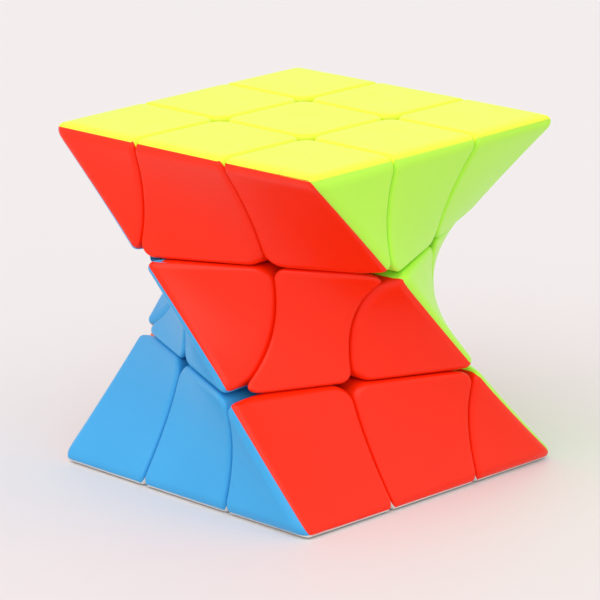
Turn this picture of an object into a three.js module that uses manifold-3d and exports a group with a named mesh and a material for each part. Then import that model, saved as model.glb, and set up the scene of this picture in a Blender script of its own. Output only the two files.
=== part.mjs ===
// A 3x3x3 turning puzzle in the shape of a cube whose bottom is turned a quarter turn against its top.
// Twenty-six outer pieces hold each other by their feet round a six-armed core. Millimetres, +Z up.
// The origin is the middle of the bottom face, and X and Y run along the sides of the top and bottom squares.
import * as THREE from "three";
import { mergeVertices } from "three/addons/utils/BufferGeometryUtils.js";
import Module from "manifold-3d";

const wasm = await Module();
wasm.setup();

// Driving dimensions
const width = 58.5; // side of the top and bottom squares
const height = 57;
const sliceTurn = THREE.MathUtils.degToRad(2); // how far the middle slice stands out of line at rest
const gap = 0.3; // between neighbouring pieces
const wall = 1.5; // of the hollow pieces

// Cuts and guide surfaces
const cut = height / 6; // centre to cut plane, outside the guide sphere
const footCut = 6.2; // the same inside the guide sphere, so that feet reach under their neighbours
const guideRadius = 18.5; // sphere on which the feet slide under the shells
const guideGap = 0.6; // between the feet and the shells above them
const footRadius = 11.5; // inner surface of the feet
const capSeam = 18; // centre to the joint between a centre's base and its cap
const segments = 12; // of the twisted block, each way
const hollowSegments = 6; // of the hollows inside it
const sphereSegments = 24;
const far = 40; // past the outside of the puzzle

// Core, screws, washers and springs, measured outwards from the core's middle
const coreRadius = 7;
const armRadius = 3;
const armEnd = 10.8;
const boreRadius = 1.4;
const boreStart = 5;
const seat = 13.4; // where the spring stands in a centre's base
const wellRadius = 3.4;
const springWire = 0.5;
const springRadius = 2.3; // to the middle of the wire
const springTurns = 3;
const springFrom = seat + gap / 2;
const springTo = 16.6;
const washer = { from: 16.7, to: 17.2, inner: 1.5, outer: 3.0 };
const screw = { from: 6.4, head: 17.3, to: 18.8, shaft: 1.15, headRadius: 2.6, recess: 1.0, recessDepth: 0.7 };
const roundSides = 12;
const coilSteps = 9; // in each turn of a spring

// Moulding holes that open the hollow pieces, on the walls between pieces of one layer
const mouldHole = { radius: 1.5, out: 16, up: 19 };

const plastic = (color) => new THREE.MeshStandardMaterial({ color, roughness: 0.3, metalness: 0 });
const steel = (color) => new THREE.MeshStandardMaterial({ color, roughness: 0.35, metalness: 1 });
const finish = {
  yellow: plastic(0xf4f53f),
  white: plastic(0xf2f2ee),
  red: plastic(0xff3420),
  green: plastic(0x8fe02e),
  orange: plastic(0xff8a1c),
  blue: plastic(0x3fa4ec),
  base: plastic(0xe9d94a),
  core: plastic(0x2b2b2e),
  steel: steel(0xb9bcc0),
  spring: steel(0xd0d2d6),
};

// A closed three.js geometry as a solid
function solid(geometry) {
  geometry.deleteAttribute("normal");
  geometry.deleteAttribute("uv");
  const merged = mergeVertices(geometry, 1e-4);
  return new wasm.Manifold(
    new wasm.Mesh({
      numProp: 3,
      vertProperties: new Float32Array(merged.attributes.position.array),
      triVerts: new Uint32Array(merged.index.array),
    }),
  );
}

// A solid as a named mesh
function mesh(name, body, material) {
  const { vertProperties, triVerts } = body.getMesh();
  const geometry = new THREE.BufferGeometry();
  geometry.setAttribute("position", new THREE.BufferAttribute(new Float32Array(vertProperties), 3));
  geometry.setIndex(new THREE.BufferAttribute(new Uint32Array(triVerts), 1));
  geometry.computeVertexNormals();
  const made = new THREE.Mesh(geometry, material);
  made.name = name;
  return made;
}

// The twisted block about its middle: every upright fibre of a square block runs straight from a point of the top
// square to the same point of the bottom square turned a quarter turn, so a level section is a smaller, turned square.
function twistedBlock(side, tall, count) {
  const block = new THREE.BoxGeometry(side, side, tall, count, count, count);
  const at = block.attributes.position;
  for (let i = 0; i < at.count; i++) {
    const [x, y, z] = [at.getX(i), at.getY(i), at.getZ(i)];
    const down = 0.5 - z / height;
    at.setXYZ(i, (1 - down) * x - down * y, (1 - down) * y + down * x, z);
  }
  return solid(block);
}

function box(low, high) {
  const size = high.map((v, i) => v - low[i]);
  const block = new THREE.BoxGeometry(...size);
  block.translate(...low.map((v, i) => v + size[i] / 2));
  return solid(block);
}

const sphere = (radius) => solid(new THREE.SphereGeometry(radius, sphereSegments, sphereSegments / 2));

// A cylinder between two distances from the core's middle, outwards along a direction
function rod(radius, from, to, direction = new THREE.Vector3(0, 0, 1)) {
  const shape = new THREE.CylinderGeometry(radius, radius, to - from, roundSides);
  shape.translate(0, (from + to) / 2, 0);
  const up = new THREE.Vector3(0, 1, 0);
  shape.applyQuaternion(new THREE.Quaternion().setFromUnitVectors(up, direction));
  return solid(shape);
}

// A closed outline of [radius, height] points turned about Z
function turned(outline) {
  const points = outline.map(([radius, up]) => new THREE.Vector2(radius, up));
  const shape = new THREE.LatheGeometry(points, roundSides);
  shape.rotateX(Math.PI / 2);
  return solid(shape);
}

// One cell of the 3x3x3 grid, each index -1, 0 or 1, held back from the cut planes by inset
function cell(index, plane, inset) {
  const low = index.map((i) => (i < 0 ? -far : i * plane - (i ? 0 : plane) + inset));
  const high = index.map((i) => (i > 0 ? far : i * plane + (i ? 0 : plane) - inset));
  return box(low, high);
}

const block = twistedBlock(width, height, segments);
const hollowBlock = twistedBlock(width - 2 * wall, height - 2 * wall, hollowSegments);
const shellGuide = sphere(guideRadius + guideGap / 2);
const footGuide = sphere(guideRadius - guideGap / 2);
const footHollow = sphere(footRadius);

// An outer piece: its part of the block outside the guide sphere, its foot inside, and the stalk that joins them
function piece(index) {
  const shell = cell(index, cut, gap / 2).subtract(shellGuide);
  const foot = cell(index, footCut, gap / 2).intersect(footGuide);
  const stalk = cell(index, cut, gap / 2).intersect(cell(index, footCut, gap / 2));
  return shell.add(foot).add(stalk).intersect(block).subtract(footHollow);
}

// The hollow inside an outer piece, one wall in from all its faces
function hollow(index) {
  return cell(index, cut, gap / 2 + wall)
    .intersect(hollowBlock)
    .subtract(sphere(guideRadius + wall));
}

// The hole through the upright wall at x = side * cut that opens a hollow
function hole(side) {
  const drill = new THREE.CylinderGeometry(mouldHole.radius, mouldHole.radius, 3 * wall, roundSides);
  drill.rotateZ(Math.PI / 2);
  drill.translate(side * cut, -mouldHole.out, mouldHole.up);
  return solid(drill);
}

const corner = piece([1, -1, 1]).subtract(hollow([1, -1, 1])).subtract(hole(1));
const outerEdge = piece([0, -1, 1]).subtract(hollow([0, -1, 1])).subtract(hole(1));
const middleEdge = piece([1, -1, 0]);

// A centre's base, its axis up: a flange under the cap and a stem with a well for the spring
const centreBase = piece([0, 0, 1])
  .intersect(box([-far, -far, 0], [far, far, capSeam - gap / 2]))
  .subtract(rod(wellRadius, seat, capSeam + gap))
  .subtract(rod(boreRadius, footRadius - 1, seat + gap));

const aboveSeam = box([-far, -far, capSeam + gap / 2], [far, far, far]);
const flatCap = piece([0, 0, 1]).intersect(aboveSeam).subtract(
  cell([0, 0, 1], cut, gap / 2 + wall).intersect(hollowBlock),
);
const outsideSeam = box([-far, -far, -far], [far, -capSeam - gap / 2, far]);
const sideCap = piece([0, -1, 0]).intersect(outsideSeam).subtract(
  cell([0, -1, 0], cut, gap / 2 + wall).intersect(hollowBlock),
);

// The core: a ball with an arm to each centre, drilled for its screw
function coreBody() {
  const axes = [new THREE.Vector3(1, 0, 0), new THREE.Vector3(0, 1, 0), new THREE.Vector3(0, 0, 1)];
  const directions = [...axes, ...axes.map((axis) => axis.clone().negate())];
  let body = solid(new THREE.SphereGeometry(coreRadius, roundSides, roundSides / 2));
  for (const direction of directions) body = body.add(rod(armRadius, 0, armEnd, direction));
  for (const direction of directions) body = body.subtract(rod(boreRadius, boreStart, armEnd + gap, direction));
  return body;
}

const screwBody = turned([
  [0, screw.from],
  [screw.shaft, screw.from],
  [screw.shaft, screw.head],
  [screw.headRadius, screw.head],
  [screw.headRadius, screw.to],
  [screw.recess, screw.to],
  [0, screw.to - screw.recessDepth],
]);

const washerBody = turned([
  [washer.inner, washer.from],
  [washer.outer, washer.from],
  [washer.outer, washer.to],
  [washer.inner, washer.to],
  [washer.inner, washer.from],
]);

// The spring's wire follows a helix about Z
class Helix extends THREE.Curve {
  getPoint(t, target = new THREE.Vector3()) {
    const angle = 2 * Math.PI * springTurns * t;
    const low = springFrom + springWire / 2;
    const rise = springTo - springFrom - springWire;
    return target.set(springRadius * Math.cos(angle), springRadius * Math.sin(angle), low + rise * t);
  }
}

function springBody() {
  const section = new THREE.Shape().absarc(0, 0, springWire / 2, 0, 2 * Math.PI);
  const steps = springTurns * coilSteps;
  return solid(new THREE.ExtrudeGeometry(section, { steps, curveSegments: 3, extrudePath: new Helix() }));
}

const coil = springBody();

// What holds one centre, its axis up: base, spring, washer and screw
function centreHardware(side) {
  const group = new THREE.Group();
  group.add(mesh("spring_" + side, coil, finish.spring));
  group.add(mesh("washer_" + side, washerBody, finish.steel));
  group.add(mesh("screw_" + side, screwBody, finish.steel));
  group.add(mesh("centre_base_" + side, centreBase, finish.base));
  return group;
}

// The colours of the four sides, each a quarter turn on from the one before
const sides = ["red", "green", "orange", "blue"];
const side = (quarter) => sides[(quarter + sides.length) % sides.length];

// The top layer, or the bottom one, which is the same turned over about X. Turned over, the two colours of
// a corner change places and each edge takes the next colour.
function outerLayer(face, turnedOver) {
  const layer = new THREE.Group();
  for (let quarter = 0; quarter < sides.length; quarter++) {
    const place = new THREE.Group();
    const large = side(turnedOver ? 1 - quarter : quarter);
    const small = side(turnedOver ? -quarter : quarter + 1);
    place.add(mesh("corner_" + face + "_" + large + "_" + small, corner, finish[face]));
    place.add(mesh("edge_" + face + "_" + large, outerEdge, finish[face]));
    place.rotation.z = (quarter * Math.PI) / 2;
    layer.add(place);
  }
  layer.add(mesh("centre_cap_" + face, flatCap, finish[face]));
  layer.add(centreHardware(face));
  if (turnedOver) layer.rotation.x = Math.PI;
  return layer;
}

// The middle slice: four edges of one colour and four centres of two colours
function middleSlice() {
  const slice = new THREE.Group();
  for (let quarter = 0; quarter < sides.length; quarter++) {
    const place = new THREE.Group();
    const colours = side(quarter - 1) + "_" + side(quarter);
    place.add(mesh("edge_middle_" + side(quarter), middleEdge, finish[side(quarter)]));
    place.add(mesh("centre_cap_" + colours, sideCap, finish[side(quarter)]));
    const hardware = centreHardware(colours);
    hardware.rotation.x = Math.PI / 2;
    place.add(hardware);
    place.rotation.z = (quarter * Math.PI) / 2;
    slice.add(place);
  }
  slice.add(mesh("core", coreBody(), finish.core));
  slice.rotation.z = sliceTurn;
  return slice;
}

const puzzle = new THREE.Group();
puzzle.add(outerLayer("yellow", false));
puzzle.add(middleSlice());
puzzle.add(outerLayer("white", true));
puzzle.position.z = height / 2;

export default puzzle;
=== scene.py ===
"""The looks of a twisty puzzle: a cube whose bottom is turned a quarter turn against its top.

Each outer piece is a set of coloured shells on an inner foot. Shapes are worked out in millimetres about the
middle of the puzzle, for the piece on the -Y side, and are then turned to the piece's own place.
"""

import bpy
import numpy as np
from mathutils import Matrix, Vector

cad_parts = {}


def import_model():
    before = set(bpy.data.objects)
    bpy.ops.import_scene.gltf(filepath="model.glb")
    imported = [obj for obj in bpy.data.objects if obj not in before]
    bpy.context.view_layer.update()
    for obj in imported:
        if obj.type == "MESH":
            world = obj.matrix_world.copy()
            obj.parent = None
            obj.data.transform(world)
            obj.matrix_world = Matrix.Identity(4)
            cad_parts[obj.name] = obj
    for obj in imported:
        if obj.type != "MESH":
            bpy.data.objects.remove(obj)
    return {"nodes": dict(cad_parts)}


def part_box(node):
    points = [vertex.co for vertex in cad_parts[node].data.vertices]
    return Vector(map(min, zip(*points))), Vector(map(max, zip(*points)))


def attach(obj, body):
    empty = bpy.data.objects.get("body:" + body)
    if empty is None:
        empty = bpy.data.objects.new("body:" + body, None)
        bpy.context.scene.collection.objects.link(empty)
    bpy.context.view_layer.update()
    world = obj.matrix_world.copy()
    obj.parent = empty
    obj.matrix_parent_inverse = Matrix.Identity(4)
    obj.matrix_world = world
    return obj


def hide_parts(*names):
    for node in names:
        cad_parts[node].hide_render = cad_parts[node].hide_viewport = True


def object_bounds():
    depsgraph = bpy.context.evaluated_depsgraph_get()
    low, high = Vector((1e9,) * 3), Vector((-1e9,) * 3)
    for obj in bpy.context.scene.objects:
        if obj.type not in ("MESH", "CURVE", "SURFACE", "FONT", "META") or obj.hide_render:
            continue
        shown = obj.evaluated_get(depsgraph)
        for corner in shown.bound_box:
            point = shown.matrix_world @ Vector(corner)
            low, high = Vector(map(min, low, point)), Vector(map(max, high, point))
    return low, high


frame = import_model()
cad_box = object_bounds()

MM = 0.001

# Sizes taken from the frame
MIDDLE = Vector((0, 0, (cad_box[0][2] + cad_box[1][2]) / 2))


def reach(node, side, axis):
    """How far a CAD node reaches from the middle of the puzzle along an axis, in mm. Side 0 is its low one."""
    return (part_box(node)[side][axis] - MIDDLE[axis]) / MM


HALF = round(reach("centre_cap_yellow", 1, 2), 3)  # half the height
WIDE = round(reach("corner_yellow_red_green", 1, 0), 3)  # half the side of the top and bottom squares
WALL_SHIFT = 0.08  # by which the finished walls stand closer than the plain ones
INSIDE = round(reach("centre_cap_yellow", 1, 0), 3) + WALL_SHIFT  # middle line to a cut's inner side
CAP_SEAM = round(reach("centre_cap_yellow", 0, 2), 3)  # where a centre's cap meets its base

# Sizes of the pieces
GAP = 0.14  # between the walls of two neighbours
OUTSIDE = INSIDE + GAP  # middle line to the outer side of a cut
GUIDE = 18.8  # sphere inside the shells of the corners and edges
SKIRT_END = 19.7  # sphere at which the skirts of the side centres' caps end, clear of the feet
PINCH = 0.02  # share by which the sides draw in at half height
SLICE_TURN = 2.0  # degrees by which the middle slice stands out of line
SKIN = 1.0  # wall of a shell
UPRIGHT_ROUND = 2.0  # of the edges between two sides
RIM_ROUND = 2.6  # of the edges round the top and bottom
WALL_ROUND = 2.8  # where two cut walls of a piece meet
WAIST_ROUND = 2.0  # the same on the middle slice's edges
OUTER_BORDER = 0.9  # where a face turns down into a cut wall, on the top and bottom layers
SLICE_BORDER = 1.05  # the same on the middle slice
GUIDE_ROUND = 0.5  # where a cut wall meets the guide sphere
RIM_SEAM = 0.2  # sharp rim to the seam between a side's colour and the top's
NOTCH = 1.0  # how far a side's colour reaches in along the cut walls under the rim
RIDGE_SEAM = 0.6  # sharp upright edge to the seam between two sides' colours
SLICE_RIDGE_SEAM = 0.8  # the same on the side centres
STRIP = 2.0  # depth of the top's colour on the cut walls
LEVEL_STRIP = 2.4  # depth of a face's colour on a level cut wall of another colour
LEVEL_SEAM = 0.25  # level cut wall to the seam at the tip of a side centre's second colour
TIP_ROUND = 0.8  # of that seam
TIP_REACH = 3.0  # how far it runs from the ridge, and from the level wall
LEADING_REACH = 9.0  # how far the leading side's colour has a side centre's level walls
BEND_LEG = 8.0  # over which a corner's lattice lines on top run straight again

# Lattice of a piece: even steps of FINE over a margin at each end, and wider ones between
FINE = 0.2
MARGIN = 2.4
FINE_STEPS = round(MARGIN / FINE)
WIDE_STEPS = 14
STEPS = 2 * FINE_STEPS + WIDE_STEPS

# Feet: the two radii of the slab, the distance of its walls from the middle planes at its inner face, half
# the width of an edge's slab at its outer face, and the round of its edges
FOOT = {"inner": 15.6, "outer": 17.7, "clear": 6.35, "half": 6.0, "round": 0.6}
POST_START = 17.4  # inside the slab
POST_END = 19.2  # inside the wall of the shells
POST_SIDES = 32
CORNER_POST = 1.5  # radius
EDGE_POST = 2.4

# Base of a side centre: half widths, their corners' rounds, and distances from the middle of the puzzle
BASE = {"flange": 8.25, "flange_round": 2.2, "top": 17.95, "flange_under": 17.4,
        "stem": 5.9, "stem_round": 0.6, "end": 11.6, "hole": 1.4, "well": 3.4, "well_floor": 13.4}
QUARTER_STEPS = 8  # sides of a quarter of a round corner

# Numbers of the calculation
SLOPE_STEP = 1e-4
OUTER_ROUNDS = 14  # steps that bring the points onto the outside
INNER_ROUNDS = 6  # and onto the inside of the wall
SAME_DECIMALS = 4  # points equal to this many decimals are one
TINY = 1e-9

SIDES = ("red", "green", "orange", "blue")
LEADING_SIDES = ("blue", "green")  # whose colours have the level cut walls and reach past the upright edges


# ---------------------------------------------------------------- solids as distances

def rounded(distances, radius):
    """Distance outside what several solids share. Edges are round: where two distances are over -radius,
    the length of both excesses takes the place of the larger one."""
    excess = np.stack(distances) + radius
    return np.minimum(excess.max(0), 0) + np.sqrt((np.maximum(excess, 0) ** 2).sum(0)) - radius


def wide(z):
    """Half the side of the square that the sides are ruled on at height z; least at half height."""
    return WIDE * (1 - PINCH * (1 - (z / HALF) ** 2))


def side_distance(points, quarter):
    """Distance outside one twisted side, to first order. At a share t of the way down, the side's level line
    runs between two corners of the square turned towards the next quarter; the line's equation is divided
    by the length of its gradient."""
    x, y, z = (points @ spin(90 * quarter)).T
    t = 0.5 - z / (2 * HALF)
    side = wide(z)
    value = (x + side - 2 * side * t) * t - (y + side) * (1 - t)
    rise = (x + y + 2 * side - 4 * side * t) / (2 * HALF)
    return value / np.sqrt(t**2 + (1 - t) ** 2 + rise**2)


def body_distance(points):
    """Distance outside the whole twisted block with its upright edges and rims rounded."""
    z = points[:, 2]
    sides = rounded([side_distance(points, quarter) for quarter in range(4)], UPRIGHT_ROUND)
    return rounded([sides, z - HALF, -z - HALF], RIM_ROUND)


def piece_distance(walls, border, guided, wall_round=WALL_ROUND):
    """The distance outside one piece: the block cut by the walls, which are functions of the point and meet
    in rounds of wall_round, and by the guide sphere on a guided piece. The outside turns down into them
    with a round of border."""
    def distance(points):
        cut = rounded([wall(points) for wall in walls], wall_round)
        if guided:
            cut = rounded([cut, GUIDE - np.linalg.norm(points, axis=1)], GUIDE_ROUND)
        return rounded([body_distance(points), cut], border)
    return distance


def past(axis, sign, plane):
    """A flat cut wall: distance past a plane across an axis, the solid lying on its -sign side."""
    return lambda points: sign * points[:, axis] - plane


def slope(distance, points):
    """Gradient of a distance by central differences."""
    moves = np.eye(3) * SLOPE_STEP
    return np.stack([(distance(points + m) - distance(points - m)) / (2 * SLOPE_STEP) for m in moves], 1)


def settle(points, distance, level=0.0, rounds=OUTER_ROUNDS):
    """Moves points along the gradient of a distance until it equals level, by Newton's steps."""
    for _ in range(rounds):
        lean = slope(distance, points)
        points = points - ((distance(points) - level) / (lean**2).sum(1))[:, None] * lean
    return points


# ---------------------------------------------------------------- lattices

def spin(degrees):
    """Turn about Z as a matrix for columns; rows times it turn the other way."""
    c, s = np.cos(np.radians(degrees)), np.sin(np.radians(degrees))
    return np.array([[c, -s, 0], [s, c, 0], [0, 0, 1]])


FLIP = np.diag([1.0, -1.0, -1.0])  # half a turn about X


def spread(index, length, open_end=False):
    """Distance along a line of this length at a lattice number: FINE steps over a margin at each end, or at
    the start alone, and even steps between. Short lines share their margins out."""
    margin = np.minimum(MARGIN, length if open_end else length / 2)
    start = margin * index / FINE_STEPS
    if open_end:
        rest = (index - FINE_STEPS) / (STEPS - FINE_STEPS)
        return np.where(index <= FINE_STEPS, start, margin + rest * (length - margin))
    end = length - margin * (STEPS - index) / FINE_STEPS
    middle = margin + (index - FINE_STEPS) / WIDE_STEPS * (length - 2 * margin)
    return np.where(index <= FINE_STEPS, start, np.where(index >= STEPS - FINE_STEPS, end, middle))


def between(start, end, index, open_end=False):
    """Point of a straight line at a lattice number."""
    length = np.linalg.norm(end - start, axis=-1, keepdims=True)
    share = spread(index[..., None], length, open_end) / np.maximum(length, TINY)
    return start + share * (end - start)


def point(x, y, z):
    """Points from three coordinates, each an array or a single number."""
    return np.stack(np.broadcast_arrays(x, y, z), -1).astype(float)


def face_y(x, z):
    """y of the -Y side at x and height z."""
    m = z / HALF
    return -wide(z) + (x + wide(z) * m) * (1 - m) / (1 + m)


def face_x(y, z):
    """x of the same side at y and height z."""
    m = z / HALF
    return -wide(z) * m + (y + wide(z)) * (1 + m) / (1 - m)


def next_face_x(y, z):
    """x at y and height z of the side a quarter turn on, which meets the first at x = wide(z)."""
    m = z / HALF
    return wide(z) - (y + wide(z) * m) * (1 - m) / (1 + m)


def last_face_y(x, z):
    """y at x and height z of the side a quarter turn back, which meets the first at y = -wide(z)."""
    m = z / HALF
    return -wide(z) - (wide(z) * m + x) * (1 + m) / (1 - m)


def heights(low, high, w):
    """Height at each lattice number w between two heights."""
    return low + spread(w, high - low)


def corner_place(u, v, w):
    """Outer corner: at each height the four-sided section between two sides and two cuts. On top, the
    lattice lines near the puzzle's own corner bend into arcs about the rounded upright edge."""
    z = heights(OUTSIDE, HALF, w)
    front = between(point(OUTSIDE, face_y(OUTSIDE, z), z), point(wide(z), -wide(z) * z / HALF, z), u)
    back = between(point(OUTSIDE, -OUTSIDE, z), point(next_face_x(-OUTSIDE, z), -OUTSIDE, z), u)
    placed = between(front, back, v)
    x, y = placed[..., 0], placed[..., 1]
    p, q = WIDE - x, WIDE + y
    near = np.minimum(p, q)
    along = np.maximum(p, q) - near
    arc = np.where(near < RIM_SEAM, (UPRIGHT_ROUND - RIM_SEAM) * near / RIM_SEAM,
                   np.maximum(UPRIGHT_ROUND - near, 0))
    run = along + arc * (1 - np.sqrt(0.5)) * np.maximum(1 - along / BEND_LEG, 0)
    inwards = arc - np.sqrt(np.maximum(arc**2 - np.maximum(arc - run, 0) ** 2, 0))
    on_top = w == STEPS
    new_p = near + np.where(p >= q, run, inwards)
    new_q = near + np.where(p >= q, inwards, run)
    placed[..., 0] = np.where(on_top, WIDE - new_p, x)
    placed[..., 1] = np.where(on_top, new_q - WIDE, y)
    return placed


def edge_place(u, v, w):
    """Outer edge: at each x, a patch blended from its four border lines in the upright plane, two of which
    run along a cut wall and then along the guide sphere to the middle of its arc."""
    x = spread(u, 2 * INSIDE) - INSIDE
    radius = np.sqrt(GUIDE**2 - x**2)
    meet = np.sqrt(radius**2 - OUTSIDE**2)  # how far out the sphere meets each cut wall
    lean = np.arcsin(OUTSIDE / radius)
    arc = radius * (np.pi / 4 - lean)

    def side_line(index):
        z = heights(OUTSIDE, HALF, index)
        return point(x, face_y(x, z), z)

    def top_line(index):
        return point(x, spread(index, WIDE - OUTSIDE) - WIDE, HALF)

    def wall_line(index):
        """From the middle of the arc to the top."""
        s = spread(index, arc + HALF - meet)
        angle = np.pi / 4 - np.minimum(s, arc) / radius
        return point(x, -radius * np.sin(angle), radius * np.cos(angle) + np.maximum(s - arc, 0))

    def level_line(index):
        """From the side to the middle of the arc."""
        start = face_y(x, OUTSIDE)
        s = spread(index, -meet - start + arc)
        angle = lean + np.maximum(s - (-meet - start), 0) / radius
        return point(x, -radius * np.cos(angle) - np.maximum(-meet - start - s, 0), radius * np.sin(angle))

    a = (spread(v, WIDE - OUTSIDE) / (WIDE - OUTSIDE))[..., None]
    b = (spread(w, HALF - OUTSIDE) / (HALF - OUTSIDE))[..., None]
    zero, full = np.zeros_like(v), np.full_like(v, STEPS)
    corners = ((1 - a) * (1 - b) * level_line(zero) + a * (1 - b) * level_line(full)
               + (1 - a) * b * top_line(zero) + a * b * top_line(full))
    return ((1 - a) * side_line(w) + a * wall_line(w) + (1 - b) * level_line(v) + b * top_line(v) - corners)


def waist_place(u, v, w):
    """Edge of the middle slice: at each height, from the side straight in to the guide sphere."""
    z = heights(-INSIDE, INSIDE, w)
    front = between(point(OUTSIDE, face_y(OUTSIDE, z), z), point(face_x(-OUTSIDE, z), -OUTSIDE, z), u)
    radius = np.sqrt(GUIDE**2 - z**2)
    first = np.arcsin(OUTSIDE / radius)
    share = np.linalg.norm(front - point(OUTSIDE, face_y(OUTSIDE, z), z), axis=-1)
    share /= np.linalg.norm(point(face_x(-OUTSIDE, z), -OUTSIDE, z)
                            - point(OUTSIDE, face_y(OUTSIDE, z), z), axis=-1)
    angle = first + share * (np.pi / 2 - 2 * first)
    return between(front, point(radius * np.sin(angle), -radius * np.cos(angle), z), v)


def skirt(front, v):
    """From points of a side straight in to the end of the cap's skirt."""
    x, z = front[..., 0], front[..., 2]
    return between(front, point(x, -np.sqrt(SKIRT_END**2 - x**2 - z**2), z), v, open_end=True)


def cap_front(x, z):
    """Point of the outside at x and height z; the -Y side and the one before it meet in a ridge."""
    return point(x, np.maximum(face_y(x, z), last_face_y(x, z)), z)


def ridge(z):
    """The ridge's point at height z, or where it has left a side centre, the nearest point of its wall."""
    return cap_front(np.clip(-wide(z) * z / HALF, -INSIDE, INSIDE), z)


def left_cap_place(u, v, w):
    """The part of a side centre's cap left of the ridge."""
    z = heights(-INSIDE, INSIDE, w)
    return skirt(between(cap_front(np.full_like(z, -INSIDE), z), ridge(z), u), v)


def right_cap_place(u, v, w):
    """The part of the same cap right of the ridge."""
    z = heights(-INSIDE, INSIDE, w)
    return skirt(between(ridge(z), cap_front(np.full_like(z, INSIDE), z), u), v)


def flat_cap_place(u, v, w):
    """Cap of the top or bottom centre."""
    x = spread(u, 2 * INSIDE) - INSIDE
    y = spread(v, 2 * INSIDE) - INSIDE
    return point(x, y, HALF - spread(STEPS - w, HALF - CAP_SEAM, open_end=True))


LATTICE_AXES = "uvw"


def patches(place, sides):
    """Triangles over the named sides of a block, such as u0 and w1, whose point at each lattice number is
    place(u, v, w). Gives the points, the triangles, each triangle's side and its middle's lattice numbers."""
    count = STEPS + 1
    a, b = np.meshgrid(np.arange(count), np.arange(count), indexing="ij")
    ids = np.arange(count * count).reshape(count, count)
    low, right, up, far = ids[:-1, :-1], ids[1:, :-1], ids[:-1, 1:], ids[1:, 1:]
    cells = np.concatenate([np.stack([low, right, up], -1).reshape(-1, 3),
                            np.stack([right, far, up], -1).reshape(-1, 3)])
    points, triangles, names, middles = [], [], [], []
    for number, side in enumerate(sides):
        axis, end = LATTICE_AXES.index(side[0]), int(side[1])
        first, second = (axis + 1) % 3, (axis + 2) % 3
        if not end:
            first, second = second, first
        lattice = np.empty((count, count, 3))
        lattice[..., axis] = end * STEPS
        lattice[..., first] = a
        lattice[..., second] = b
        points.append(place(*np.moveaxis(lattice, -1, 0)).reshape(-1, 3))
        triangles.append(cells + number * count * count)
        names += [side] * len(cells)
        middles.append(lattice.reshape(-1, 3)[cells].mean(1))
    return np.concatenate(points), np.concatenate(triangles), np.array(names), np.concatenate(middles)


def joined(blocks):
    """Blocks as one surface: equal points become one, and triangles that this closes up are left out."""
    points = np.concatenate([block[0] for block in blocks])
    starts = np.cumsum([0] + [len(block[0]) for block in blocks[:-1]])
    triangles = np.concatenate([block[1] + start for block, start in zip(blocks, starts)])
    names = np.concatenate([block[2] for block in blocks])
    middles = np.concatenate([block[3] for block in blocks])
    _, keep, number = np.unique(np.round(points, SAME_DECIMALS), axis=0,
                                return_index=True, return_inverse=True)
    triangles = number.reshape(-1)[triangles]
    whole = ((triangles[:, 0] != triangles[:, 1]) & (triangles[:, 1] != triangles[:, 2])
             & (triangles[:, 2] != triangles[:, 0]))
    return points[keep], triangles[whole], names[whole], middles[whole]


# ---------------------------------------------------------------- which colour owns which part

RIM_STEPS = round(RIM_SEAM / FINE)
NOTCH_STEPS = round(NOTCH / FINE)
RIDGE_STEPS = round(RIDGE_SEAM / FINE)
SLICE_RIDGE_STEPS = round(SLICE_RIDGE_SEAM / FINE)
STRIP_STEPS = round(STRIP / FINE)
LEVEL_STEPS = round(LEVEL_STRIP / FINE)


def corner_owners(names, middles, big_owns_level):
    """0 for the top's colour, 1 for the big face's and 2 for the small face's. The faces' colours take the
    outermost strip of the top, and the notches of the cut walls beside them."""
    u, v, w = middles.T
    from_small, near_top = STEPS - u, STEPS - w < STRIP_STEPS
    owner = np.select([names == "v0", names == "u1"], [1, 2], 0)
    rim = np.minimum(v, from_small) < RIM_STEPS
    owner = np.where((names == "w1") & rim, np.where(v < from_small, 1, 2), owner)
    if big_owns_level:
        owner = np.where((names == "u1") & (v < RIDGE_STEPS), 1, owner)
    else:
        owner = np.where((names == "v0") & (from_small < RIDGE_STEPS), 2, owner)
    owner = np.where(names == "u0", np.where(near_top & (v > NOTCH_STEPS), 0, 1), owner)
    owner = np.where(names == "v1", np.where(near_top & (from_small > NOTCH_STEPS), 0, 2), owner)
    return np.where(names == "w0", 1 if big_owns_level else np.where(v < LEVEL_STEPS, 1, 2), owner)


def edge_owners(names, middles):
    """0 for the top's colour and 1 for the side's."""
    _, v, w = middles.T
    top = (names == "w1") & (v > RIM_STEPS)
    wall = np.isin(names, ["u0", "u1", "v1"]) & (STEPS - w < STRIP_STEPS) & (v > NOTCH_STEPS)
    return np.where(top | wall, 0, 1)


def side_centre_owners(shape, left_leads):
    """0 for the left side's colour and 1 for the right's. The leading colour also has a strip past the
    ridge, the last bit of the other's tips, and the deep part of the level walls."""
    outer, _, triangles, names, middles = shape
    left = np.isin(names, ["u0", "v0", "w0"])
    owner = np.where(left, 0, 1)
    places = outer[triangles].mean(1)
    past_leader = -side_distance(places, 3 if left_leads else 0)
    from_level = INSIDE - np.abs(places[:, 2])
    border = rounded([SLICE_RIDGE_SEAM - past_leader, LEVEL_SEAM - from_level], TIP_ROUND)
    level = (names == "w0") | (names == "w1r")
    taken = level & (middles[:, 1] > LEVEL_STEPS) & (past_leader < LEADING_REACH)
    taken |= (border > 0) & (past_leader < TIP_REACH) & (from_level < TIP_REACH)
    from_ridge = np.where(left, STEPS - middles[:, 0], middles[:, 0])
    taken |= np.isin(names, ["v0", "v0r"]) & (from_ridge < SLICE_RIDGE_STEPS)
    return np.where(taken, 0 if left_leads else 1, owner)


# ---------------------------------------------------------------- meshes

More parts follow.
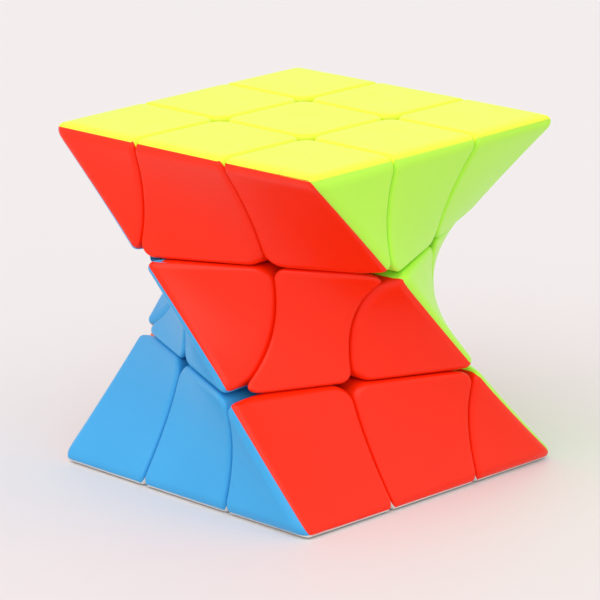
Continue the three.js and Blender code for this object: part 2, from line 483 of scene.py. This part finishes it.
def skin(points, inner, triangles):
    """Closed shell: the outer triangles, the same turned round on the inner points, and a strip along the
    open border. Also says which triangles are flat, which are the strip's."""
    used, local = np.unique(triangles, return_inverse=True)
    local = local.reshape(-1, 3)
    count = len(used)
    edges = np.concatenate([local[:, [0, 1]], local[:, [1, 2]], local[:, [2, 0]]])
    alone = ~np.isin(edges[:, 0] * count + edges[:, 1], edges[:, 1] * count + edges[:, 0])
    a, b = edges[alone].T
    strip = np.concatenate([np.stack([b, a, a + count], 1), np.stack([b, a + count, b + count], 1)])
    faces = np.concatenate([local, local[:, ::-1] + count, strip])
    flat = np.arange(len(faces)) >= 2 * len(local)
    return np.concatenate([points[used], inner[used]]), faces, flat


def make_piece(name, points, faces, flat, material, body, node):
    """A mesh object from points in mm about the middle, riding on a body in place of a CAD node."""
    mesh = bpy.data.meshes.new(name)
    mesh.from_pydata((points * MM + np.array(MIDDLE)).tolist(), [], faces.tolist())
    mesh.polygons.foreach_set("use_smooth", ~flat)
    mesh.materials.append(material)
    mesh.update()
    made = bpy.data.objects.new(name, mesh)
    bpy.context.scene.collection.objects.link(made)
    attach(made, body)
    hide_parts(node)
    return made


def shells(surface, distance):
    """The settled outer points of a surface, its inner points one skin in, and the rest as it is."""
    guide, triangles, names, middles = surface
    outer = settle(guide, distance)
    return outer, settle(outer, distance, -SKIN, INNER_ROUNDS), triangles, names, middles


across_x = [past(0, 1, INSIDE), past(0, -1, INSIDE)]
across_y = [past(1, 1, INSIDE), past(1, -1, INSIDE)]
across_z = [past(2, 1, INSIDE), past(2, -1, INSIDE)]
beyond_x, beyond_y, beyond_z = past(0, -1, -OUTSIDE), past(1, 1, -OUTSIDE), past(2, -1, -OUTSIDE)
corner_solid = piece_distance([beyond_x, beyond_y, beyond_z], OUTER_BORDER, guided=True)
edge_solid = piece_distance([*across_x, beyond_y, beyond_z], OUTER_BORDER, guided=True)
waist_solid = piece_distance([beyond_x, beyond_y, *across_z], SLICE_BORDER, True, WAIST_ROUND)
side_centre_solid = piece_distance([*across_x, *across_z], SLICE_BORDER, guided=False)
flat_centre_solid = piece_distance([*across_x, *across_y], OUTER_BORDER, guided=False)

ALL_SIDES = ("u0", "u1", "v0", "v1", "w0", "w1")
corner_shape = shells(joined([patches(corner_place, ALL_SIDES)]), corner_solid)
edge_shape = shells(joined([patches(edge_place, ALL_SIDES)]), edge_solid)
waist_shape = shells(joined([patches(waist_place, ALL_SIDES)]), waist_solid)
left_part = patches(left_cap_place, ("u0", "v0", "w0"))
right_part = patches(right_cap_place, ("u1", "v0", "w1"))
right_part = (right_part[0], right_part[1], np.char.add(right_part[2], "r"), right_part[3])
side_centre_shape = shells(joined([left_part, right_part]), side_centre_solid)
flat_part = patches(flat_cap_place, ("u0", "u1", "v0", "v1", "w1"))
flat_centre_shape = shells(joined([flat_part]), flat_centre_solid)


# ---------------------------------------------------------------- feet

def foot(walls, corners, post_way, post_radius):
    """A slab of a ball's skin between walls that lean in to the middle, and the post that carries the shell.
    The slab's lattice runs straight between four directions and from its inner to its outer radius."""
    def solid(points):
        radius = np.linalg.norm(points, axis=1)
        sides = [limit * radius - points @ np.array(way) for way, limit in walls]
        return rounded([*sides, radius - FOOT["outer"], FOOT["inner"] - radius], FOOT["round"])

    def place(u, v, w):
        a, b = (u / STEPS)[..., None], (v / STEPS)[..., None]
        way = ((1 - a) * (1 - b) * corners[0] + a * (1 - b) * corners[1] + a * b * corners[2]
               + (1 - a) * b * corners[3])
        way = way / np.linalg.norm(way, axis=-1, keepdims=True)
        return way * (FOOT["inner"] + (FOOT["outer"] - FOOT["inner"]) * w / STEPS)[..., None]

    guide, triangles, _, _ = joined([patches(place, ALL_SIDES)])
    slab = settle(guide, solid)
    way = np.array(post_way) / np.linalg.norm(post_way)
    across = np.cross(way, [0.0, 0.0, 1.0])
    across /= np.linalg.norm(across)
    upward = np.cross(way, across)
    turns = np.linspace(0, 2 * np.pi, POST_SIDES + 1)[:-1]
    ring = np.cos(turns)[:, None] * across + np.sin(turns)[:, None] * upward
    outline = [(0, POST_START), (post_radius, POST_START), (post_radius, POST_END), (0, POST_END)]
    post = np.concatenate([way * along + ring * radius for radius, along in outline])
    rows, turn = np.arange(len(outline) - 1)[:, None] * POST_SIDES, np.arange(POST_SIDES)[None, :]
    next_rows, after = rows + POST_SIDES, (turn + 1) % POST_SIDES
    quads = np.stack([rows + turn, rows + after, next_rows + after, next_rows + turn], -1).reshape(-1, 4)
    halves = np.concatenate([quads[:, [0, 1, 2]], quads[:, [0, 2, 3]]])
    post, halves, _, _ = joined([(post, halves, np.full(len(halves), ""), np.zeros((len(halves), 3)))])
    if signed_volume(post, halves) < 0:
        halves = halves[:, ::-1]
    if signed_volume(slab, triangles) < 0:
        triangles = triangles[:, ::-1]
    return np.concatenate([slab, post]), np.concatenate([triangles, halves + len(slab)])


def signed_volume(points, triangles):
    """Volume inside closed triangles; below zero when they face inwards."""
    a, b, c = (points[triangles[:, i]] for i in range(3))
    return (a * np.cross(b, c)).sum() / 6


def pierced(outline):
    """A solid about the -Y axis from a closed outline of (half width, corner radius, distance along): each
    section is a square with round corners, or a circle where the two sizes are the same."""
    sections = []
    for half, corner, along in outline:
        for quarter in range(4):
            angle = np.radians(90 * quarter + np.linspace(0, 90, QUARTER_STEPS + 1))
            middle = np.radians(90 * quarter + 45)
            x = (half - corner) * np.sign(np.cos(middle)) + corner * np.cos(angle)
            z = (half - corner) * np.sign(np.sin(middle)) + corner * np.sin(angle)
            sections.append(point(x, -along, z))
    around = 4 * (QUARTER_STEPS + 1)
    rows, turn = np.arange(len(outline))[:, None] * around, np.arange(around)[None, :]
    next_rows, after = (rows + around) % (len(outline) * around), (turn + 1) % around
    quads = np.stack([rows + turn, rows + after, next_rows + after, next_rows + turn], -1).reshape(-1, 4)
    halves = np.concatenate([quads[:, [0, 1, 2]], quads[:, [0, 2, 3]]])
    blank = np.full(len(halves), "")
    points, halves, _, _ = joined([(np.concatenate(sections), halves, blank, np.zeros((len(halves), 3)))])
    return points, halves if signed_volume(points, halves) > 0 else halves[:, ::-1]


clear = FOOT["clear"] / FOOT["inner"]
narrow = FOOT["half"] / FOOT["outer"]
tip = np.sqrt(1 - 2 * clear**2)
end = np.sqrt(1 - clear**2 - narrow**2)
corner_foot = foot(
    [((1, 0, 0), clear), ((0, -1, 0), clear), ((0, 0, 1), clear)],
    [np.array(way) for way in ((clear, -tip, clear), (tip, -clear, clear),
                               (clear, -clear, tip), (clear, -clear, tip))],
    (1, -1, 1), CORNER_POST,
)
edge_foot = foot(
    [((1, 0, 0), -narrow), ((-1, 0, 0), -narrow), ((0, -1, 0), clear), ((0, 0, 1), clear)],
    [np.array(way) for way in ((-narrow, -end, clear), (narrow, -end, clear),
                               (narrow, -clear, end), (-narrow, -clear, end))],
    (0, -1, 1), EDGE_POST,
)
waist_foot = foot(
    [((0, 0, 1), -narrow), ((0, 0, -1), -narrow), ((0, -1, 0), clear), ((1, 0, 0), clear)],
    [np.array(way) for way in ((clear, -end, -narrow), (end, -clear, -narrow),
                               (end, -clear, narrow), (clear, -end, narrow))],
    (1, -1, 0), EDGE_POST,
)

# A flange inside the cap, and a stem with a well for the spring and a hole for the screw
side_base = pierced([
    (BASE["well"], BASE["well"], BASE["top"]),
    (BASE["flange"], BASE["flange_round"], BASE["top"]),
    (BASE["flange"], BASE["flange_round"], BASE["flange_under"]),
    (BASE["stem"], BASE["stem_round"], BASE["flange_under"]),
    (BASE["stem"], BASE["stem_round"], BASE["end"]),
    (BASE["hole"], BASE["hole"], BASE["end"]),
    (BASE["hole"], BASE["hole"], BASE["well_floor"]),
    (BASE["well"], BASE["well"], BASE["well_floor"]),
])


# ---------------------------------------------------------------- materials

COLOUR_A, COLOUR_B, COLOUR_OUT = 6, 7, 2  # sockets of a Mix node that mixes colours
POLISHED = 0.34  # roughness of plastic from a polished mould
UNPOLISHED = 0.55
NYLON = 0.6
FLOW_SIZE = 16  # mm across the changes of tone that the flow of the melt leaves
HANDLING_SIZE = 5  # mm across the changes of gloss
PEEL_SIZE = 0.9  # mm across the waves of the orange peel


def linear(hex_colour):
    """sRGB hex to a linear colour with alpha."""
    parts = [int(hex_colour[i:i + 2], 16) / 255 for i in (1, 3, 5)]
    return (*[c / 12.92 if c <= 0.04045 else ((c + 0.055) / 1.055) ** 2.4 for c in parts], 1.0)


def add(material, kind, settings=None, **links):
    """Adds a node to a material, with settings on its properties or inputs, and links from other outputs."""
    node = material.node_tree.nodes.new(kind)
    for name, value in (settings or {}).items():
        if name in node.inputs:
            node.inputs[name].default_value = value
        else:
            setattr(node, name, value)
    for name, output in links.items():
        material.node_tree.links.new(output, node.inputs[name.replace("_", " ")])
    return node


def new_material(name):
    """A material and its shader node."""
    material = bpy.data.materials.new(name)
    material.use_nodes = True
    return material, material.node_tree.nodes["Principled BSDF"]


def per_mm(size):
    """Scale of a noise whose features are this many mm across, on coordinates in metres."""
    return 1 / (size * MM)


def moulded_abs(name, colour, shade, roughness=POLISHED):
    """ABS, injection moulded in a polished mould and coloured all through: a satin gloss with a faint
    orange-peel skin, and a slightly deeper tone where the melt cooled last."""
    material, shader = new_material(name)
    tree = material.node_tree
    at = add(material, "ShaderNodeTexCoord").outputs["Object"]
    flow = add(material, "ShaderNodeTexNoise", {"Scale": per_mm(FLOW_SIZE), "Detail": 2.0}, Vector=at)
    tone = add(material, "ShaderNodeMix", {"data_type": "RGBA"}, Factor=flow.outputs["Fac"])
    tone.inputs[COLOUR_A].default_value = linear(colour)
    tone.inputs[COLOUR_B].default_value = linear(shade)
    tree.links.new(tone.outputs[COLOUR_OUT], shader.inputs["Base Color"])
    handled = add(material, "ShaderNodeTexNoise", {"Scale": per_mm(HANDLING_SIZE), "Detail": 4.0}, Vector=at)
    gloss = add(material, "ShaderNodeMapRange", {"To Min": roughness - 0.05, "To Max": roughness + 0.06},
                Value=handled.outputs["Fac"])
    tree.links.new(gloss.outputs["Result"], shader.inputs["Roughness"])
    peel = add(material, "ShaderNodeTexNoise", {"Scale": per_mm(PEEL_SIZE), "Detail": 1.0}, Vector=at)
    bump = add(material, "ShaderNodeBump", {"Strength": 0.05, "Distance": 0.05 * MM},
               Height=peel.outputs["Fac"])
    tree.links.new(bump.outputs["Normal"], shader.inputs["Normal"])
    shader.inputs["IOR"].default_value = 1.54
    shader.inputs["Specular IOR Level"].default_value = 0.25
    shader.inputs["Subsurface Weight"].default_value = 0.12
    shader.inputs["Subsurface Radius"].default_value = (1.0, 0.8, 0.5)
    shader.inputs["Subsurface Scale"].default_value = 0.8 * MM
    return material


def plain_abs(name, colour, shade):
    """ABS, injection moulded in an unpolished mould, for inner parts: the same plastic, but duller."""
    return moulded_abs(name, colour, shade, UNPOLISHED)


def moulded_nylon(name, colour, shade):
    """Nylon, injection moulded: the dullest of the plastics."""
    return moulded_abs(name, colour, shade, NYLON)


def turned_steel(name, colour, mark_size):
    """Plated steel, turned or drawn: bright, with fine marks this many mm across that the tool leaves."""
    material, shader = new_material(name)
    tree = material.node_tree
    at = add(material, "ShaderNodeTexCoord").outputs["Object"]
    marks = add(material, "ShaderNodeTexNoise", {"Scale": per_mm(mark_size), "Detail": 3.0}, Vector=at)
    gloss = add(material, "ShaderNodeMapRange", {"To Min": 0.22, "To Max": 0.42}, Value=marks.outputs["Fac"])
    tree.links.new(gloss.outputs["Result"], shader.inputs["Roughness"])
    bump = add(material, "ShaderNodeBump", {"Strength": 0.1, "Distance": 0.02 * MM},
               Height=marks.outputs["Fac"])
    tree.links.new(bump.outputs["Normal"], shader.inputs["Normal"])
    shader.inputs["Base Color"].default_value = linear(colour)
    shader.inputs["Metallic"].default_value = 1.0
    return material


finish = {
    "yellow": moulded_abs("yellow_moulded_abs", "#EDFF45", "#E7FA39"),
    "white": moulded_abs("white_moulded_abs", "#F0F0EC", "#E9E9E5"),
    "red": moulded_abs("red_moulded_abs", "#FF2C04", "#FB2803"),
    "green": moulded_abs("green_moulded_abs", "#BEFD4E", "#B6F746"),
    "orange": moulded_abs("orange_moulded_abs", "#FF8410", "#F87B0A"),
    "blue": moulded_abs("blue_moulded_abs", "#42ABE4", "#3AA3DE"),
    "yellow_base": plain_abs("yellow_base_abs", "#E8B62C", "#DFAB24"),
    "white_base": plain_abs("white_base_abs", "#E6E6E2", "#DADAD6"),
    "core": moulded_nylon("core_moulded_nylon", "#1F1F22", "#19191C"),
    "steel": turned_steel("zinc_plated_turned_steel", "#B9BCC0", 0.12),
    "spring": turned_steel("drawn_spring_steel", "#CDD0D4", 0.2),
}


# ---------------------------------------------------------------- assembly

def side_colour(quarter):
    """Colour of the side this many quarter turns on from the -Y side."""
    return SIDES[quarter % 4]


def build(node, shape, owners, colours, turn, body):
    """The coloured shells of one outer piece, each a closed skin."""
    outer, inner, triangles, _, _ = shape
    for number, colour in enumerate(colours):
        points, faces, flat = skin(outer, inner, triangles[owners == number])
        make_piece(f"{node}_{colour}_shell", points @ turn.T, faces, flat, finish[colour],
                   body, node)


def build_solid(name, points, triangles, turn, material, slot, body, node, faceted=False):
    """A piece whose closed triangles are all of one material."""
    flat = np.full(len(triangles), faceted)
    make_piece(name, points @ turn.T, triangles, flat, material, body, node)


def outer_layer(face, body, turned_over):
    """Corners, edges and centre cap of the top layer, or of the bottom one, which is the same turned over."""
    base = f"{face}_base"
    for quarter in range(4):
        turn = (FLIP if turned_over else np.eye(3)) @ spin(90 * quarter)
        big = side_colour(1 - quarter if turned_over else quarter)
        small = side_colour(-quarter if turned_over else quarter + 1)
        corner = f"corner_{face}_{big}_{small}"
        owners = corner_owners(corner_shape[3], corner_shape[4], big in LEADING_SIDES)
        build(corner, corner_shape, owners, (face, big, small), turn, body)
        build_solid(f"{corner}_foot", *corner_foot, turn, finish[base], base, body, corner)
        edge = f"edge_{face}_{big}"
        owners = edge_owners(edge_shape[3], edge_shape[4])
        build(edge, edge_shape, owners, (face, big), turn, body)
        build_solid(f"{edge}_foot", *edge_foot, turn, finish[base], base, body, edge)
    turn = FLIP if turned_over else np.eye(3)
    owners = np.zeros(len(flat_centre_shape[2]), int)
    build(f"centre_cap_{face}", flat_centre_shape, owners, (face,), turn, body)


def middle_slice():
    """The four edges and four centre caps between the layers."""
    for quarter in range(4):
        turn = spin(90 * quarter + SLICE_TURN)
        colour = side_colour(quarter)
        edge = f"edge_middle_{colour}"
        build_solid(f"{edge}_shell", waist_shape[0], waist_shape[2], turn, finish[colour],
                    f"{colour}_abs", "middle_slice", edge)
        build_solid(f"{edge}_foot", *waist_foot, turn, finish["yellow_base"], "yellow_base",
                    "middle_slice", edge)
        left = side_colour(quarter - 1)
        owners = side_centre_owners(side_centre_shape, left in LEADING_SIDES)
        build(f"centre_cap_{left}_{colour}", side_centre_shape, owners, (left, colour), turn, "middle_slice")
        base = f"centre_base_{left}_{colour}"
        build_solid(f"{base}_block", *side_base, turn, finish["yellow_base"], "yellow_base", "middle_slice",
                    base, faceted=True)


def dress_frame():
    """Better materials on the CAD nodes that stay."""
    kinds = {"core": "core", "screw": "steel", "washer": "steel", "spring": "spring"}
    for name, node in frame["nodes"].items():
        kind = kinds.get(name.split("_")[0])
        if name.startswith("centre_base"):
            kind = "white_base" if name.endswith("white") else "yellow_base"
        if kind:
            node.material_slots[0].material = finish[kind]


outer_layer("yellow", "top_layer", False)
outer_layer("white", "bottom_layer", True)
middle_slice()
dress_frame()


# ---------------------------------------------------------------- floor, light and camera

FLOOR_HALF = 6.0  # metres
FIBRE_SIZE = 3  # mm across the unevenness of the floor's paper


def studio():
    """A pale paper floor that runs on behind the puzzle."""
    mesh = bpy.data.meshes.new("studio_floor")
    corners = [(x * FLOOR_HALF, y * FLOOR_HALF, 0) for x, y in ((-1, -1), (1, -1), (1, 1), (-1, 1))]
    mesh.from_pydata(corners, [], [(0, 1, 2, 3)])
    floor = bpy.data.objects.new("studio_floor", mesh)
    bpy.context.scene.collection.objects.link(floor)
    material, shader = new_material("matt_studio_paper")
    at = add(material, "ShaderNodeTexCoord").outputs["Object"]
    fibre = add(material, "ShaderNodeTexNoise", {"Scale": per_mm(FIBRE_SIZE), "Detail": 4.0}, Vector=at)
    bump = add(material, "ShaderNodeBump", {"Strength": 0.04, "Distance": 0.1 * MM},
               Height=fibre.outputs["Fac"])
    material.node_tree.links.new(bump.outputs["Normal"], shader.inputs["Normal"])
    shader.inputs["Base Color"].default_value = linear("#E3E0E0")
    shader.inputs["Roughness"].default_value = 0.6
    shader.inputs["Specular IOR Level"].default_value = 0.2
    mesh.materials.append(material)


def world(colour, strength):
    """Even light from all round."""
    scene = bpy.context.scene
    scene.world = bpy.data.worlds.new("soft_studio")
    scene.world.use_nodes = True
    background = scene.world.node_tree.nodes["Background"]
    background.inputs["Color"].default_value = linear(colour)
    background.inputs["Strength"].default_value = strength


def sun(name, azimuth, elevation, angle, strength):
    """White light from one direction, its azimuth measured like the camera's. A wider angle gives a softer
    shadow."""
    light = bpy.data.lights.new(name, "SUN")
    light.energy = strength
    light.angle = np.radians(angle)
    lamp = bpy.data.objects.new(name, light)
    lamp.rotation_mode = "QUATERNION"
    lamp.rotation_quaternion = Vector(towards(azimuth, elevation)).to_track_quat("Z", "Y")
    bpy.context.scene.collection.objects.link(lamp)


def towards(azimuth, elevation):
    """Unit vector from the puzzle towards a place at this azimuth and elevation in degrees."""
    az, el = np.radians(azimuth), np.radians(elevation)
    return np.array([np.sin(az) * np.cos(el), -np.cos(az) * np.cos(el), np.sin(el)])


VIEW = {"azimuth": 44.4, "elevation": 15.85, "distance": 0.59, "lens": 221.0, "roll": -0.5}
AIM = {"left": 1.04 * MM, "down": 1.42 * MM}
SENSOR_WIDTH = 36.0


def camera():
    """A long lens aimed a little left of the middle of the puzzle and below it."""
    data = bpy.data.cameras.new("camera")
    data.sensor_width = SENSOR_WIDTH
    data.lens = VIEW["lens"]
    data.clip_start = 0.01
    back = Vector(towards(VIEW["azimuth"], VIEW["elevation"]))
    right = Vector((0, 0, 1)).cross(back).normalized()
    up = back.cross(right)
    aim = MIDDLE - right * AIM["left"] - up * AIM["down"]
    lens = bpy.data.objects.new("camera", data)
    pose = Matrix((right, up, back)).transposed() @ Matrix.Rotation(np.radians(VIEW["roll"]), 3, "Z")
    lens.matrix_world = Matrix.Translation(aim + back * VIEW["distance"]) @ pose.to_4x4()
    bpy.context.scene.collection.objects.link(lens)
    bpy.context.scene.camera = lens


studio()
world("#FFFBFB", 0.85)
sun("window_light", 10, 55, 60, 1.12)
sun("room_fill", 85, 20, 90, 0.3)
camera()
bpy.context.scene.view_settings.view_transform = "Standard"
